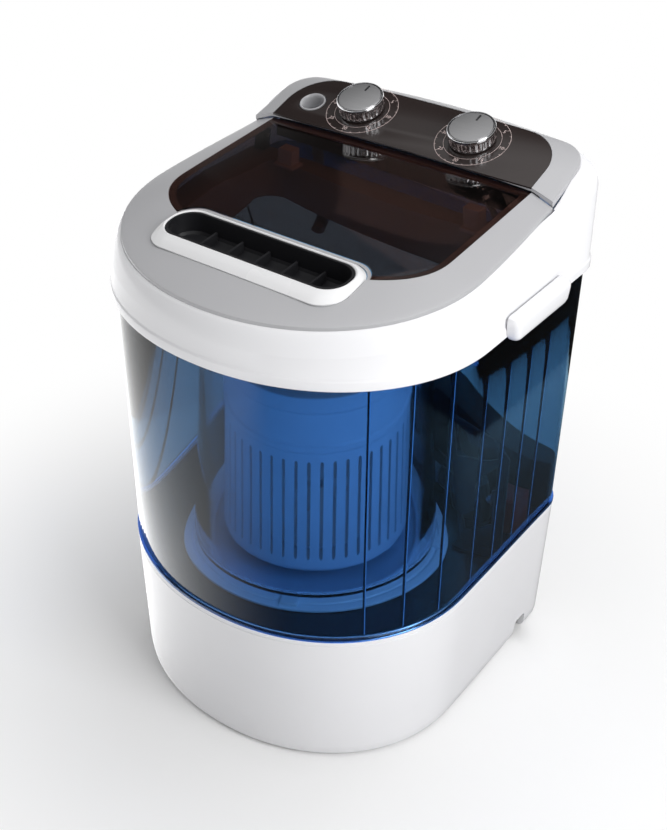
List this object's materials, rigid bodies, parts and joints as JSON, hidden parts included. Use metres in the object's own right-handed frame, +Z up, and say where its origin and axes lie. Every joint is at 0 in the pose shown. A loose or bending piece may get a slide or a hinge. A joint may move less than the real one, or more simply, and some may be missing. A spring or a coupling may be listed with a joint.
{
  "type": "portable top-load washing machine",
  "caption": "Small portable top-load washing machine: white base and top frame, see-through blue cabinet, smoked lid, two timer knobs and a slotted basket inside.",
  "frame": {"origin": "on the floor, in the middle of the machine's footprint", "axes": "+Z up, -Y towards the user (round front), +X to the machine's right as seen from the front"},
  "size_m": [0.38, 0.369, 0.5372],
  "materials": {
    "white_plastic": "glossy white moulding with faint orange peel",
    "black_plastic": "black moulding with a fine grain",
    "rubber": "soft black rubber, matt",
    "dark_deck": "near-black glossy deck",
    "blue_clear": "see-through blue polycarbonate, polished",
    "tub_plastic": "slightly milky clear plastic",
    "basket_plastic": "pale satin polypropylene",
    "steel": "turned steel",
    "cast_housing": "cast and pressed housings, satin",
    "red_plastic": "dark red moulding",
    "hose": "grey rubber hose",
    "silver_plastic": "silver-grey painted moulding, satin gloss",
    "smoked_glass": "smoked brown-black acrylic, polished",
    "chrome": "bright plated plastic with light handling marks"
  },
  "bodies": {
    "root": {"base_housing": "white_plastic", "base_pan": "black_plastic", "foot_front_left": "rubber", "foot_front_right": "rubber", "foot_rear_left": "rubber", "foot_rear_right": "rubber", "deck_plate": "dark_deck", "cabinet_shell": "blue_clear", "top_frame": "white_plastic", "carry_handle_left": "white_plastic", "carry_handle_right": "white_plastic", "inner_deck": "black_plastic", "basket_post_left": "black_plastic", "basket_post_right": "black_plastic", "wash_tub": "tub_plastic", "tub_flange": "tub_plastic", "bearing_housing": "cast_housing", "upper_bearing": "steel", "lower_bearing": "steel", "shaft_seal": "rubber", "drive_belt": "rubber", "motor_housing": "cast_housing", "motor_mount": "steel", "capacitor": "black_plastic", "capacitor_clip": "steel", "drain_valve_body": "black_plastic", "drain_actuator": "red_plastic", "drain_hose": "hose", "drain_outlet": "black_plastic", "cord_gland": "black_plastic", "inlet_pipe": "hose", "wiring_harness": "black_plastic", "service_cover": "black_plastic", "control_bracket": "black_plastic", "panel_housing": "silver_plastic", "panel_plate": "smoked_glass", "water_inlet": "silver_plastic", "wash_timer": "black_plastic", "spin_timer": "black_plastic", "hinge_pin_left": "steel", "hinge_pin_right": "steel", "hinge_bracket_left": "black_plastic", "hinge_bracket_right": "black_plastic"},
    "lid": {"lid_frame": "silver_plastic", "lid_window": "smoked_glass", "lid_handle_bezel": "chrome", "lid_handle_cup": "black_plastic"},
    "wash_dial": {"wash_timer_knob": "chrome", "wash_timer_shaft": "steel"},
    "spin_dial": {"spin_timer_knob": "chrome", "spin_timer_shaft": "steel"},
    "spinner": {"drive_shaft": "steel", "basket_hub": "steel", "spin_basket": "basket_plastic", "pulsator": "basket_plastic", "driven_pulley": "black_plastic"},
    "rotor": {"motor_shaft": "steel", "motor_pulley": "steel"},
    "drain_plunger": {"drain_valve_plunger": "steel"}
  },
  "joints": [
    {"name": "lid_hinge", "type": "hinge", "parent": "root", "child": "lid", "pos_m": [0, 0.083, 0.486], "axis": [-1, 0, 0], "range_deg": [0, 88]},
    {"name": "wash_dial_turn", "type": "hinge", "parent": "root", "child": "wash_dial", "pos_m": [-0.0593, 0.1286, 0.5164], "axis": [0, 0.3134, -0.9496], "range_deg": [0, 300]},
    {"name": "spin_dial_turn", "type": "hinge", "parent": "root", "child": "spin_dial", "pos_m": [0.0593, 0.1286, 0.5164], "axis": [0, 0.3134, -0.9496], "range_deg": [0, 300]},
    {"name": "drum_spin", "type": "hinge", "parent": "root", "child": "spinner", "pos_m": [0, -0.017, 0.2], "axis": [0, 0, 1], "continuous": true},
    {"name": "motor_spin", "type": "hinge", "parent": "root", "child": "rotor", "pos_m": [0.078, 0.092, 0.06], "axis": [0, 0, 1], "continuous": true},
    {"name": "drain_plunger_pull", "type": "slide", "parent": "root", "child": "drain_plunger", "axis": [1, 0, 0], "range_m": [0, 0.006], "stiffness_N_per_m": 300}
  ],
  "couplings": [
    {"joint": "motor_spin", "follows": "drum_spin", "ratio": 4.28}
  ]
}
